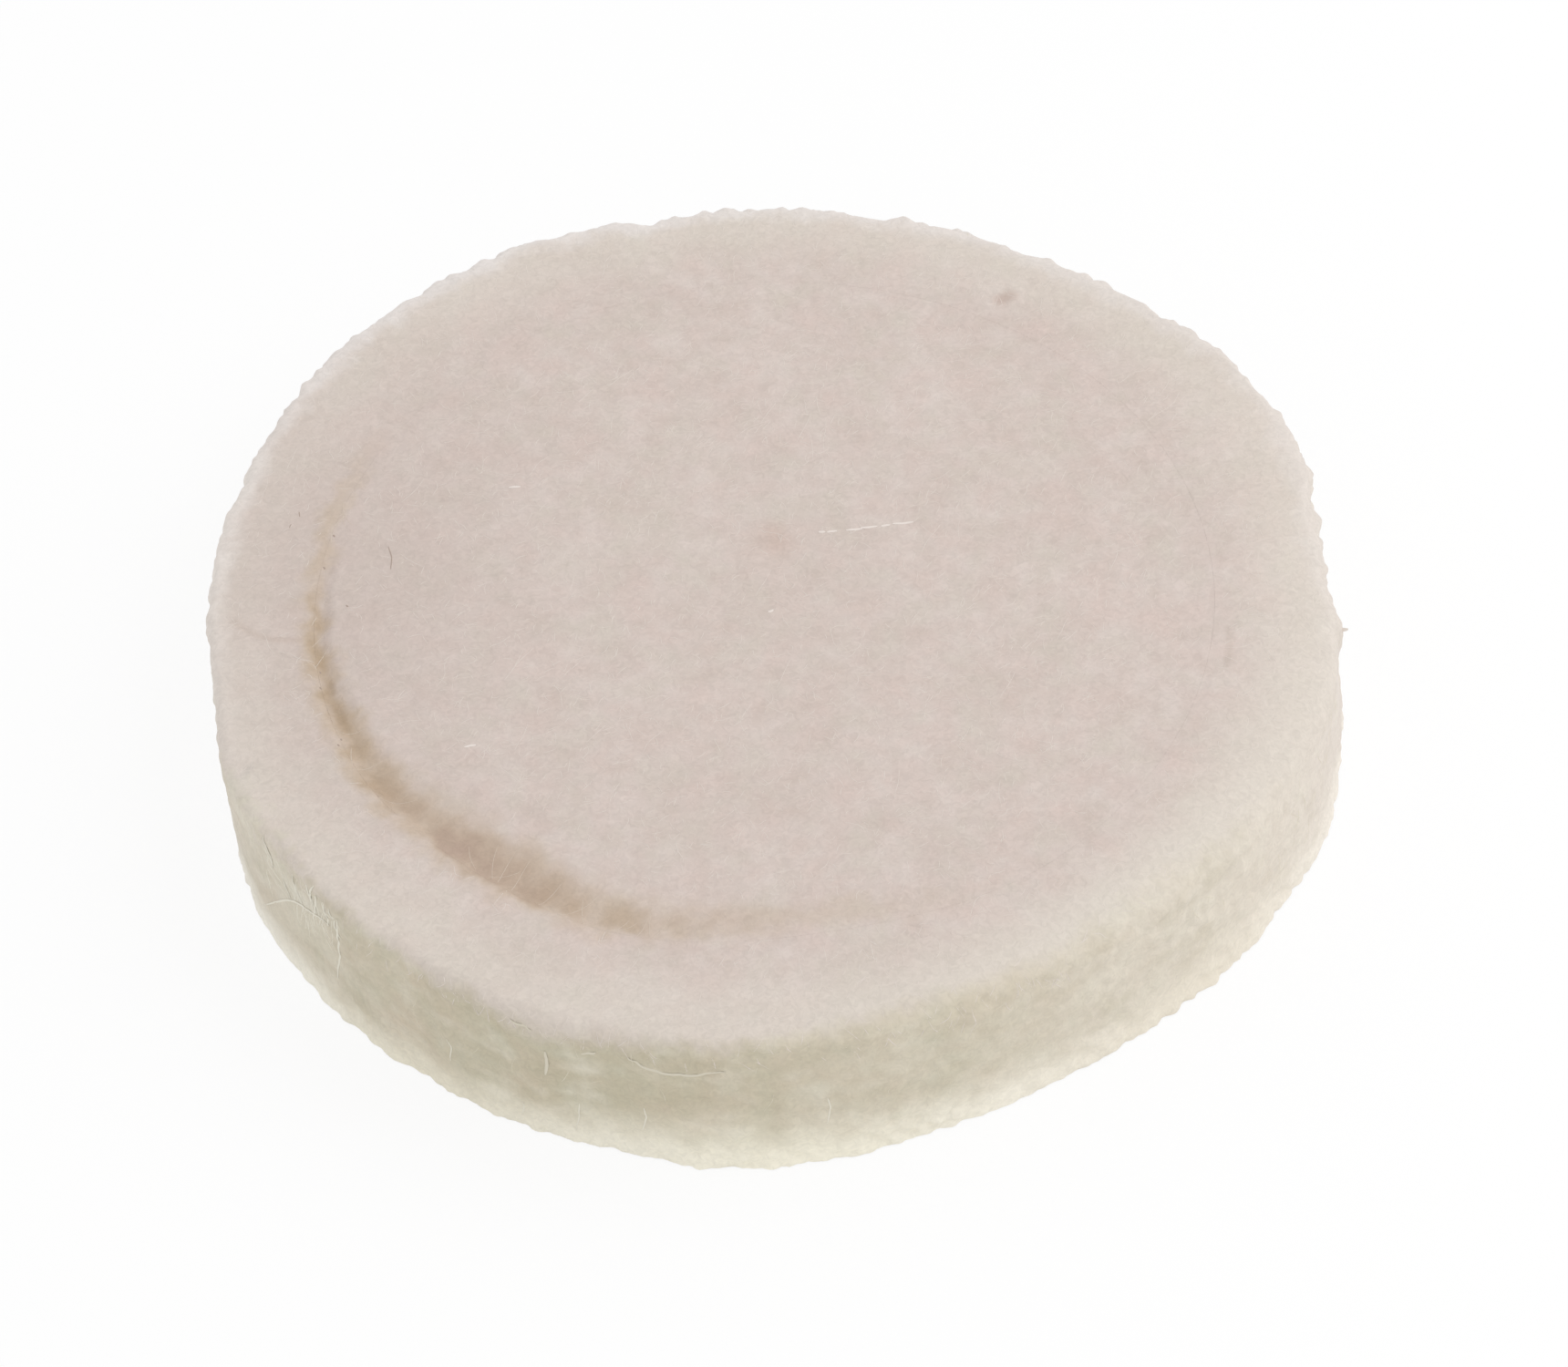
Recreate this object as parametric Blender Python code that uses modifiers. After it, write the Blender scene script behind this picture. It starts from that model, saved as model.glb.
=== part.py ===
"""Felt polishing wheel: a rim ring and a core disc of pressed wool felt, parted by one round cut.

The wheel lies on its back face. The origin is the centre of that face and +Z is the wheel's axis,
towards the working face. Bearings are in degrees about +Z, counted from +X towards +Y.
"""

import math

import bpy

MM = 0.001

# The wheel as it is sold, measured across the middle of its thickness
WHEEL_DIAMETER = 25.4 * MM
THICKNESS = 4.0 * MM

# The outer cut, made by hand, so it leans and isn't quite round: how far its foot lies from its top edge,
# and lobes with the bearing of a crest
OUTER_LEAN_X = 0.15 * MM
OUTER_LEAN_Y = -0.2 * MM
THREE_LOBE_HEIGHT = 0.2 * MM
THREE_LOBE_BEARING = 4.5
FIVE_LOBE_HEIGHT = 0.07 * MM
FIVE_LOBE_BEARING = -22.0
SIX_LOBE_HEIGHT = 0.07 * MM
SIX_LOBE_BEARING = 27.0

# Edges of the rim: the working edge is worn round, most of all on the soft side
SHOULDER_RADIUS = 0.3 * MM
BACK_EDGE_RADIUS = 0.25 * MM
SOFT_SIDE_SAG = 0.3 * MM
SOFT_SIDE_BEARING = -35.0
SOFT_SIDE_SPREAD = 75.0

# The round cut between rim and core, tight all round except where it stands open as a crease
RIM_WIDTH = 2.6 * MM
CUT_CLEARANCE = 0.12 * MM
CUT_EDGE_BREAK = 0.05 * MM
CORE_EDGE_RADIUS = 0.12 * MM
CREASE_OPENING = 0.6 * MM
CREASE_DEPTH = 1.0 * MM
CREASE_DIP = 0.4 * MM
CREASE_REACH = 2.0 * MM
CREASE_BEARING = 226.0
CREASE_SPREAD = 72.0

# Fineness of the turned surfaces
SEGMENTS = 72
ARC_STEPS = 4
WALL_STEPS = 3
FACE_STEPS = 4
WELD = 0.001 * MM
SMOOTH_BELOW = 40.0

# Colours of the felt, as sRGB hex
RIM_COLOUR = "d7cbc3"
CORE_COLOUR = "d5c7bf"
FELT_ROUGHNESS = 0.95

OUTER_RADIUS = WHEEL_DIAMETER / 2
CUT_RADIUS = OUTER_RADIUS - RIM_WIDTH
CORE_RADIUS = CUT_RADIUS - CUT_CLEARANCE


def fitting(radius, *walls):
    """An edge radius, limited to just under half of each wall that it rounds."""
    return min(radius, *(0.45 * wall for wall in walls))


def arc(centre_r, centre_z, radius, start, end):
    """Profile points (r, z) along an arc between two angles in degrees, both ends included."""
    points = []
    for step in range(ARC_STEPS + 1):
        turn = math.radians(start + (end - start) * step / ARC_STEPS)
        points.append((centre_r + radius * math.cos(turn), centre_z + radius * math.sin(turn)))
    return points


def between(first, last, steps):
    """The profile points that part a straight run into equal steps, without its two ends."""
    shares = [step / steps for step in range(1, steps)]
    return [tuple(a + (b - a) * share for a, b in zip(first, last)) for share in shares]


def straight_runs(points, long_steps):
    """The profile with each run named in long_steps, by its first point's index, parted into steps."""
    parted = []
    for index, point in enumerate(points):
        parted.append(point)
        if index in long_steps:
            following = points[(index + 1) % len(points)]
            parted.extend(between(point, following, long_steps[index]))
    return parted


def rim_profile():
    """A closed section of the rim: along its face, down the outer wall, over the back, up the cut."""
    shoulder = fitting(SHOULDER_RADIUS, THICKNESS, RIM_WIDTH)
    back = fitting(BACK_EDGE_RADIUS, THICKNESS, RIM_WIDTH)
    break_size = fitting(CUT_EDGE_BREAK, THICKNESS, RIM_WIDTH)
    points = [(CUT_RADIUS + break_size, THICKNESS)]
    points += arc(OUTER_RADIUS - shoulder, THICKNESS - shoulder, shoulder, 90, 0)
    points += arc(OUTER_RADIUS - back, back, back, 0, -90)
    points += [(CUT_RADIUS + break_size, 0.0), (CUT_RADIUS, break_size), (CUT_RADIUS, THICKNESS - break_size)]
    face_run, outer_wall = 0, ARC_STEPS + 1
    cut_wall = len(points) - 2
    return straight_runs(points, {face_run: FACE_STEPS, outer_wall: WALL_STEPS, cut_wall: WALL_STEPS})


def core_profile():
    """A section of the core from the axis: along its face, round its edge, down the cut, over the back."""
    edge = fitting(CORE_EDGE_RADIUS, THICKNESS, CORE_RADIUS)
    break_size = fitting(CUT_EDGE_BREAK, THICKNESS, CORE_RADIUS)
    points = [(0.0, THICKNESS), (crease_start(), THICKNESS)]
    points += arc(CORE_RADIUS - edge, THICKNESS - edge, edge, 90, 0)
    points += [(CORE_RADIUS, THICKNESS - crease_depth()), (CORE_RADIUS, break_size)]
    points += [(CORE_RADIUS - break_size, 0.0), (0.0, 0.0)]
    crease_face, crease_wall = 1, ARC_STEPS + 2
    return straight_runs(points, {crease_face: FACE_STEPS, crease_wall: WALL_STEPS})


def crease_start():
    """Radius at which the core's face begins to sink towards the crease."""
    return CORE_RADIUS - min(CREASE_REACH, 0.6 * CORE_RADIUS)


def crease_depth():
    """How far below the working face the crease closes, always above the back edge of the core."""
    return min(CREASE_DEPTH, 0.8 * THICKNESS)


def swell(bearing, middle, spread):
    """A smooth rise from 0 to 1 and back over a spread of bearings on each side of the middle."""
    apart = (bearing - middle + 180.0) % 360.0 - 180.0
    if abs(apart) >= spread:
        return 0.0
    return 0.5 + 0.5 * math.cos(math.pi * apart / spread)


def lobe(bearing, count, height, crest):
    """How far one set of lobes stands out of the round at a bearing."""
    return height * math.cos(math.radians(count * (bearing - crest)))


def rim_form(radius, bearing, height):
    """Where a point of the turned rim goes on the real one: (radius, x shift, y shift, height)."""
    outward = (radius - CUT_RADIUS) / RIM_WIDTH
    upward = height / THICKNESS
    out_of_round = lobe(bearing, 3, THREE_LOBE_HEIGHT, THREE_LOBE_BEARING)
    out_of_round += lobe(bearing, 5, FIVE_LOBE_HEIGHT, FIVE_LOBE_BEARING)
    out_of_round += lobe(bearing, 6, SIX_LOBE_HEIGHT, SIX_LOBE_BEARING)
    lean = outward * (0.5 - upward)
    sag = SOFT_SIDE_SAG * swell(bearing, SOFT_SIDE_BEARING, SOFT_SIDE_SPREAD) * outward**2 * upward
    return radius + out_of_round * outward, OUTER_LEAN_X * lean, OUTER_LEAN_Y * lean, height - sag


def core_form(radius, bearing, height):
    """Where a point of the turned core goes on the real one: its edge draws back and sinks at the crease."""
    start = crease_start()
    outward = max(0.0, (radius - start) / (CORE_RADIUS - start))
    upward = max(0.0, 1.0 - (THICKNESS - height) / crease_depth())
    crease = swell(bearing, CREASE_BEARING, CREASE_SPREAD) * outward**2 * upward
    return radius - CREASE_OPENING * crease, 0.0, 0.0, height - CREASE_DIP * crease


def linear(hex_colour):
    """An sRGB hex colour as linear red, green, blue and alpha."""
    channels = [int(hex_colour[i : i + 2], 16) / 255 for i in (0, 2, 4)]
    return [c / 12.92 if c <= 0.04045 else ((c + 0.055) / 1.055) ** 2.4 for c in channels] + [1.0]


def felt(name, hex_colour):
    """Pressed wool felt: pale, dull and without any shine."""
    material = bpy.data.materials.new(name)
    material.use_nodes = True
    surface = material.node_tree.nodes["Principled BSDF"]
    surface.inputs["Base Color"].default_value = linear(hex_colour)
    surface.inputs["Roughness"].default_value = FELT_ROUGHNESS
    surface.inputs["Metallic"].default_value = 0.0
    return material


def turned(name, profile, closed, form, material, collection):
    """Turns a profile about Z and then gives its points the form of the real piece."""
    count = len(profile)
    edges = [(i, (i + 1) % count) for i in range(count if closed else count - 1)]
    section = bpy.data.meshes.new(name + "_section")
    section.from_pydata([(r, 0.0, z) for r, z in profile], edges, [])
    piece = bpy.data.objects.new(name, section)
    collection.objects.link(piece)
    turn = piece.modifiers.new("turn", "SCREW")
    turn.axis = "Z"
    turn.angle = math.tau
    turn.steps = SEGMENTS
    turn.render_steps = SEGMENTS
    turn.use_merge_vertices = True
    turn.merge_threshold = WELD
    bpy.context.view_layer.update()
    evaluated = piece.evaluated_get(bpy.context.evaluated_depsgraph_get())
    mesh = bpy.data.meshes.new_from_object(evaluated)
    piece.modifiers.clear()
    piece.data = mesh
    bpy.data.meshes.remove(section)
    for vertex in mesh.vertices:
        x, y, z = vertex.co
        angle = math.atan2(y, x)
        radius, shift_x, shift_y, height = form(math.hypot(x, y), math.degrees(angle), z)
        vertex.co = (radius * math.cos(angle) + shift_x, radius * math.sin(angle) + shift_y, height)
    mesh.name = name
    mesh.materials.append(material)
    mesh.shade_smooth()
    mesh.set_sharp_from_angle(angle=math.radians(SMOOTH_BELOW))
    return piece


def main():
    for old in list(bpy.data.objects):
        bpy.data.objects.remove(old)
    wheel = bpy.data.collections.new("felt_polishing_wheel")
    bpy.context.scene.collection.children.link(wheel)
    turned("felt_rim", rim_profile(), True, rim_form, felt("rim_wool_felt", RIM_COLOUR), wheel)
    turned("felt_core", core_profile(), False, core_form, felt("core_wool_felt", CORE_COLOUR), wheel)


main()
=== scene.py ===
"""Looks of the felt polishing wheel: a rim and a core of pressed wool felt, with their loose fibres.

Lengths are in metres where nothing else is said. Bearings are in degrees about +Z, from +X towards +Y,
and the camera stands at -Y. A stretch of bearings is given by its middle and its spread to each side.
"""

import math

import bpy
import numpy as np
from mathutils import Matrix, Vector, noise


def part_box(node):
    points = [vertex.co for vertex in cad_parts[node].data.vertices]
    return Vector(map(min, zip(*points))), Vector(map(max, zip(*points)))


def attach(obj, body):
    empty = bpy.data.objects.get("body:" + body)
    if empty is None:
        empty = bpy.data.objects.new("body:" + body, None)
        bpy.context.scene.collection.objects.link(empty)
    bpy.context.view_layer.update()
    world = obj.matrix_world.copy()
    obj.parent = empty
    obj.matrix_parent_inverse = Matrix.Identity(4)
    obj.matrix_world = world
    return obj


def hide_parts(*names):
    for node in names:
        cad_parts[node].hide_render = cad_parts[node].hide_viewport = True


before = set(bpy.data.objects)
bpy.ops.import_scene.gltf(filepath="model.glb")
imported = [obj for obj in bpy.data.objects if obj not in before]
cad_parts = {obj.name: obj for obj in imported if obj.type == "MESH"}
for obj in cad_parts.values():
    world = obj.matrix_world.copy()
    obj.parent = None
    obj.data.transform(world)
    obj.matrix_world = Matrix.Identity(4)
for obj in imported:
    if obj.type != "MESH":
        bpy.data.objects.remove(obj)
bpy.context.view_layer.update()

MM = 0.001
CHANCE = np.random.default_rng(seed=20)

# The wheel's form, as the solids have it, with lobes as (count, height, bearing of a crest)
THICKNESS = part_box("felt_core")[1].z
CORE_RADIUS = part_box("felt_core")[1].x
WHEEL_RADIUS = 12.7 * MM
RIM_WIDTH = 2.6 * MM
CUT_RADIUS = WHEEL_RADIUS - RIM_WIDTH
SHOULDER_RADIUS = 0.3 * MM
OUTER_LEAN = (0.15 * MM, -0.2 * MM)
LOBES = ((3, 0.2 * MM, 4.5), (5, 0.07 * MM, -22.0), (6, 0.07 * MM, 27.0))
# Where the outer cut wanders from those lobes, as (bearing, spread, mm)
WANDERS = (
    (6.0, 11.0, -0.12), (24.0, 22.0, 0.25), (31.0, 7.0, 0.1), (41.0, 4.0, -0.06), (57.0, 6.0, -0.06),
    (66.0, 5.0, 0.1), (74.0, 5.0, -0.07), (95.0, 12.0, -0.13), (100.0, 5.0, -0.24), (113.0, 6.0, 0.08),
    (123.0, 6.0, -0.05), (150.0, 12.0, -0.08), (160.0, 7.0, -0.09), (187.0, 12.0, -0.18),
    (213.0, 9.0, -0.13), (220.0, 6.0, -0.06), (230.0, 5.0, -0.1), (252.0, 8.0, -0.13),
    (272.0, 7.0, -0.06), (275.0, 55.0, -0.05), (303.0, 12.0, 0.07), (345.0, 18.0, 0.14),
    (359.0, 4.0, -0.11),
)
# How rough its edge is, as (bearing, share)
ROUGHNESS = (
    (0.0, 1.0), (12.0, 1.5), (28.0, 2.0), (45.0, 1.4), (80.0, 1.3), (110.0, 1.6), (130.0, 0.9),
    (150.0, 1.1), (170.0, 0.8), (190.0, 0.5), (212.0, 0.5), (228.0, 0.9), (270.0, 1.1), (320.0, 1.0),
    (360.0, 1.0),
)
# The soft side of the rim sags, and its edge is worn from a share of the rim's width on
SOFT_SIDE = (-35.0, 75.0)
SOFT_SIDE_SAG = 0.3 * MM
EDGE_WEAR = 0.25 * MM
EDGE_WEAR_START = 0.6

# The round cut: pressed shut to a hairline, with two inward bends as (bearing, spread, mm). A share of the
# rim's width bends with it, and of the core mostly the edge, by a high power of the radius.
MEET_RADIUS = (CUT_RADIUS + CORE_RADIUS) / 2
MEET_BENDS = ((227.0, 24.0, 0.17), (277.0, 30.0, 0.26))
HAIRLINE = 0.002 * MM
RIM_BENDS = 1 / 3
CORE_BENDS = 8
# On one side the cut stands open as a shallow crease, steep towards the rim. It comes up at its ends by a
# power of its share, below a small share it counts as shut, and its floor takes up a share of its width.
CREASE_START = 153.0
CREASE_LENGTH = 140.0
CREASE_RISE = 30.0
CREASE_FADE = 66.0
CREASE_ENDS = 1.5
CREASE_SHUT = 0.05
CREASE_DEPTH = 0.17 * MM
CREASE_STEEP = (-0.25 * MM, 0.2 * MM)
CREASE_FLOOR = 0.2
CREASE_NARROW = 0.45 * MM
CREASE_WIDE = 1.4 * MM
CREASE_WIDEST = (232.0, 58.0)

# Where the face gives way to the cut side, as (bearing, share of LIP_REACH past LIP_PLACE on the skin)
FACE_ENDS = (
    (150.0, 0.2), (192.0, 0.2), (205.0, -0.3), (215.0, 0.0), (225.0, -0.25), (231.0, 0.0), (236.0, -0.05),
    (247.0, 0.37), (255.0, 0.0), (260.0, -0.08), (268.0, -0.2), (275.0, -0.36), (281.0, -0.55),
    (290.0, -0.4), (297.0, -0.45), (303.0, -0.55), (315.0, -0.65), (325.0, -0.35), (345.0, 0.1),
    (360.0, 0.1),
)
LIP_PLACE = 0.4 * MM
LIP_REACH = 1.1 * MM
# How softly it does so: in mm all round, and more over some stretches, as (bearing, spread, mm)
LIP_BLUR = 0.2
LIP_BLURS = ((335.0, 50.0, 0.25), (247.0, 24.0, 0.2), (288.0, 34.0, 0.16), (209.0, 20.0, 0.24))
SPECKLED_LIP = (209.0, 20.0)
# How far the far edge fades into pale loose fibres and painted light, as (bearing, share), counted on from
# its first bearing
FRINGE = (
    (-20.0, 0.0), (0.0, 0.2), (40.0, 0.34), (75.0, 0.5), (105.0, 0.62), (135.0, 0.62), (165.0, 0.2),
    (190.0, 0.0),
)
# Where these fibres and the painted light start about the end of the face, and end below the top of the
# wall
FRINGE_START = (-0.45 * MM, 0.1 * MM)
FRINGE_END = (0.3 * MM, 1.8 * MM)
# The left edge is paler as well, all the way down: painted light, where the lamp on the right leaves it
# darker
LEFT_LIGHT_SIDE = (170.0, 46.0)
LEFT_LIGHT_START = (-0.5 * MM, 0.6 * MM)
# How high the painted glow on the foot of the wall reaches, as (bearing, mm)
FOOT_GLOW_HEIGHTS = (
    (200.0, 1.6), (222.0, 1.3), (246.0, 1.5), (262.0, 2.2), (278.0, 1.7), (302.0, 1.8), (350.0, 2.0),
)
# A fold in the wall, as (bearing, height in mm): how softly it starts, how far the felt below it stands out
# and how far down that is paler, and where loose fibres haze the felt above it
FOLD = ((205.9, 1.15), (211.4, 2.43), (214.2, 2.8), (216.6, 2.98), (219.6, 3.16), (222.4, 3.37))
FOLD_SIDE = (213.0, 13.0)
FOLD_SOFT = (-0.2 * MM, 0.15 * MM)
FOLD_STEP = 0.07 * MM
FOLD_FADE = (0.9 * MM, 1.6 * MM)
HAZE_SIDE = (215.5, 9.0)
HAZE_START = (-0.1 * MM, 0.1 * MM)
HAZE_END = (0.25 * MM, 0.7 * MM)
# A tuft that bulges out of the edge between two heights, with a wisp that stands out of it
TUFT_BEARING = 353.6
TUFT_SPREAD = 2.0
TUFT_BULGE = 0.13 * MM
TUFT_HEIGHTS = (THICKNESS - 1.4 * MM, THICKNESS - 0.4 * MM)
WISP_REACH = 0.14 * MM
# The wall is ragged all over, and more at its lip and foot, by shares; the insets and heights are in mm
RAGGED_FOOT = 1.5 * MM
RAGGED_LIP = (THICKNESS - 1.1 * MM, THICKNESS - 0.5 * MM)
WALL_SHARE = 0.5
LIP_SHARE = 0.5
FOOT_SHARE = 0.35
WALL_INSET = 0.04
FOOT_INSET = 0.05
SCALLOPS_INSET = 0.035
WALL_FRAY_HEIGHT = 0.07
FOOT_FRAY_HEIGHT = 0.03
PATCHES_MEAN = 0.85

# Clumps in the felt, each layer as (strength, size in mm, seed); the strengths down to the lip's are in mm
FACE_NAP = ((0.012, 0.5, 0.0), (0.007, 0.18, 7.0))
WALL_SCALLOPS = ((0.2, 0.6, 18.0),)
WALL_WAVER = ((0.08, 1.8, 11.0),)
CREASE_WAVER = ((0.08, 0.7, 6.0), (0.03, 0.25, 8.0))
CREASE_FRAY = ((0.28, 0.45, 34.0), (0.1, 0.16, 35.0))
CREASE_FEATHER = ((0.3, 0.6, 31.0), (0.12, 0.2, 32.0))
FOOT_GLOW_UNEVEN = ((0.25, 0.6, 9.0),)
LIP_JAG = ((0.2, 0.6, 9.0), (0.14, 0.2, 2.0))
LIP_SPECKLE = ((0.5, 0.22, 42.0),)
WALL_FRAY = ((1.0, 0.22, 5.0),)
WALL_PATCHES = ((0.8, 2.2, 17.0),)
CREASE_UNEVEN = ((0.4, 1.2, 4.0),)
CREASE_BLOBS = ((0.9, 0.65, 33.0),)
CREASE_SPECKS = ((0.3, 0.25, 36.0),)
SLIT_BLOBS = ((1.6, 0.5, 37.0),)
FACE_CLUMPS = ((0.8, 1.2, 21.0), (0.8, 0.5, 22.0), (0.5, 0.22, 23.0))
FACE_BLUSH = ((1.0, 0.9, 24.0), (0.8, 0.35, 25.0))
SIDE_BROWNS = ((1.0, 1.3, 27.0), (0.7, 0.4, 28.0))
SIDE_STREAKS = ((1.0, 1.0, 13.0), (0.5, 0.35, 15.0), (0.4, 0.18, 16.0))
SIDE_LAYERS = ((0.8, 0.3, 14.0),)
# The layers of the felt show on the cut side as streaks that are drawn out along it
LAYERED = (0.35, 0.35, 1.0)

# Colours of the felt as sRGB hex, some with how far the felt goes towards them
FACE_WOOL = "d5c7bf"
FACE_PALE = ("ddd1ca", 0.7)
FACE_BROWN = ("cbbbb1", 0.55)
FACE_PINK = ("d8c6be", 0.6)
FACE_GREY = ("d2c8bd", 0.6)
# Painted shade over the left of the face, away from the lamp on the right, growing from a radius outward
FACE_PAINTED_SHADE = ("cbbcb4", 0.5)
FACE_PAINTED_SHADE_SIDE = (172.0, 60.0)
FACE_PAINTED_SHADE_REACH = (4.0 * MM, 9.0 * MM)
RIM_WOOL = "dfd7cc"
RIM_PALER = (0.0, 0.8)
RIM_SHARE = 0.55
# Less of it on the left, which is painted shade away from the lamp on the right
RIM_SHARES = ((315.0, 65.0, 0.35), (165.0, 55.0, -0.3))
# Pale loose fibres and painted light round the far edge
FRINGE_FIBRES_AND_LIGHT = "efeae8"
# Painted light on the left edge
LEFT_PAINTED_LIGHT = ("f4eee8", 0.72)
SIDE_WOOL = "d8cfbe"
SIDE_BROWN = ("d3c4b1", 0.5)
SIDE_GREEN = ("c8c6b2", 0.5)
SIDE_PALE = ("e5dfd0", 0.5)
SIDE_DARK = ("c0b7a0", 0.5)
FOLD_WOOL = ("dcd5c4", 0.6)
HAZE_WOOL = ("e4dfd2", 0.5)
# Painted light: a pale glow along the wall's foot, of light that comes up from the white table
FOOT_PAINTED_GLOW = "fcf8ed"
# Cut side shades, partly painted light and shade, and foot glow shades, as (colour, bearing, spread, share)
SIDE_TONES_AND_PAINTED_LIGHT = (
    ("cac1ab", 250.0, 50.0, 1.0),
    ("e0d7ca", 335.0, 65.0, 1.0),
    ("dfd5cd", 352.0, 34.0, 1.0),
    ("d2c9b6", 285.0, 20.0, 0.6),
    ("e0d9ca", 204.0, 14.0, 0.3),
)
FOOT_GLOW_SHADES = (
    ("f2ecdb", 232.0, 30.0, 1.0),
    ("f9f4e4", 268.0, 36.0, 1.0),
    ("eae2d3", 318.0, 45.0, 1.0),
    ("efe8de", 350.0, 40.0, 1.0),
)
# Where its browns and its streaks are fainter, as (bearing, spread, share)
BROWNS_FADE = ((335.0, 70.0, 0.8),)
STREAKS_FADE = ((335.0, 50.0, 0.5), (288.0, 34.0, 0.35))
# Painted shade of the crease, a pale tan: how far it lies inward of the cut and how much crisper its outer
# side is, both as (bearing, spread, mm), where that side lies in mm, where the inner one does in shares of
# the crease's width, and how the painted shade runs out at both ends, as (bearing, spread, share)
CREASE_PAINTED_SHADE = ("cbb9a6", 0.85)
PAINTED_SHADE_SHIFT = ((272.0, 32.0, 0.4), (150.0, 34.0, -0.33))
PAINTED_SHADE_EDGE = (-0.08, 0.58)
PAINTED_SHADE_CRISPER = ((156.0, 30.0, 0.3),)
PAINTED_SHADE_INNER = (-1.2, -0.4)
PAINTED_SHADE_RUN_OUT = ((165.0, 26.0, 0.66), (272.0, 36.0, 0.36))
# Darker painted shade in the deep of the crease, in blobs, rosier on one stretch, and painted shade as a
# dark slit along its outer side on another
CREASE_SHADE_TAN = "bba68e"
CREASE_EDGE = (-0.24 * MM, 0.22 * MM)
CREASE_INNER = (-0.9, -0.15)
BLOBS_MEAN = 0.79
BLOBS_RANGE = (0.1, 1.0)
CREASE_SHADE_ROSE = ("b9a399", 0.6)
ROSE_SIDE = (226.0, 26.0)
SLIT_PAINTED_SHADE = ("a48d73", 0.5)
SLIT_SIDE = (191.0, 25.0)
SLIT_INSET = 0.15 * MM
SLIT_SOFT = (0.03 * MM, 0.2 * MM)
SLIT_FRAY = 0.3
SLIT_MEAN = 0.55

# How fine the felt is meshed: the rim's section in steps, and the core in rings, crowded towards its edge
RIM_SEGMENTS = 960
CUT_STRIP = 0.3 * MM
STRIP_STEPS = 6
FACE_STEPS = 24
SHOULDER_STEPS = 8
WALL_STEPS = 42
BACK_STRIP = 0.3 * MM
BACK_STEPS = 8
CUT_STEPS = 5
CREASE_STEPS = 9
FACE_STEP = 0.08 * MM
CORE_CROWDING = 0.12
CORE_CUT_STEPS = 8
CORE_BACK_STEPS = 40
SMOOTH_BELOW = 60.0
# The ways a skin faces in its section, as (outward, upward); no nap is raised where it is hidden
UP = (0, 1)
OUT = (1, 0)
HIDDEN = (0, 0)

# Felt and its fibres: how dull they are, and a grain of fibres in the felt, with its size in mm
FELT_ROUGHNESS = 0.95
FELT_GLOSS = 0.1
FELT_SHEEN = 0.1
SHEEN_ROUGHNESS = 0.6
GRAIN_SIZE = 0.15
GRAIN_DETAIL = 4.0
GRAIN_TANGLE = 1.2
GRAIN_SHADES = (0.85, 1.15)
GRAIN_DEPTH = 0.02 * MM
GRAIN_STRENGTH = 0.5
PALE_FIBRE = "e2d9d1"
CUT_FIBRE = "dcd5c4"
NET_FIBRE = "ece7d9"
WHITE_FIBRE = "ebe1da"
TAN_FIBRE = "d6c9bb"
SEED_BIT = "b09f93"

# Camera, from the outline of the wheel in the photograph
SENSOR_WIDTH = 36.0
LENS = 157.5
CAMERA_ELEVATION = 48.04
CAMERA_ROLL = 3.53
CAMERA_DISTANCE = 151.2 * MM
CAMERA_AIM = (0.345 * MM, -2.544 * MM)
CLIP_START = 1.0 * MM

# Table and light
TABLE_HALF = 2.0
TABLE_DROP = 0.03 * MM
TABLE_WHITE = "f6f6f4"
TABLE_GLOW = 0.85
WHITE = "ffffff"
TENT_SIDES = 1.0
TENT_TOP = 0.7
LAMP_PLACE = (0.09, 0.0, 0.11)
LAMP_SIZE = 0.12
LAMP_POWER = 0.055

# Fibres, as (half width, rise), thinner towards their ends by a share and a power, and the steps along them
FINE = (0.012 * MM, 0.005 * MM)
MIDDLING = (0.018 * MM, 0.005 * MM)
STOUT = (0.024 * MM, 0.007 * MM)
BROAD = (0.04 * MM, 0.003 * MM)
SOFT = (0.03 * MM, 0.004 * MM)
WISP = (0.05 * MM, 0.035 * MM)
TAPER_SHARE = 0.6
TAPER_POWER = 3
CHANCE_STEPS = 7
CROSSING_STEPS = 9
WALL_STRAND_STEPS = 30
FACE_STRAND_STEPS = 12
MARK_STEPS = 16
WALL_LIFT = 0.009 * MM
FACE_LIFT = 0.005 * MM
# Fibres by chance: how many, between which bearings, which way they run in degrees, how long they are, and
# how much they bend in radians where they aren't as winding as most
ALL_ROUND = (0.0, 360.0)
SHORT = (0.08 * MM, 0.35 * MM)
LONG = (0.4 * MM, 1.0 * MM)
WINDING = 0.4
RIM_SHORT = {"count": 1600, "bearings": ALL_ROUND, "heading": ALL_ROUND, "length": SHORT}
RIM_LONG = {"count": 50, "bearings": ALL_ROUND, "heading": ALL_ROUND, "length": LONG}
LIP_UPRIGHT = {
    "count": 140, "bearings": (205.0, 300.0), "heading": (50.0, 130.0), "length": (0.15 * MM, 0.5 * MM),
    "bend": 0.2,
}
WALL_HANGING = {
    "count": 110, "bearings": ALL_ROUND, "heading": (55.0, 125.0), "length": (0.2 * MM, 0.7 * MM),
}
WALL_LYING = {"count": 60, "bearings": ALL_ROUND, "heading": ALL_ROUND, "length": (0.2 * MM, 0.9 * MM)}
NET_HANGING = {
    "count": 30, "bearings": (207.0, 220.0), "heading": (75.0, 105.0), "length": (0.4 * MM, 0.9 * MM),
    "bend": 0.12,
}
NET_CROSSING = {
    "count": 16, "bearings": (207.0, 220.0), "heading": (20.0, 50.0), "length": (0.3 * MM, 0.8 * MM),
    "bend": 0.12,
}
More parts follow.
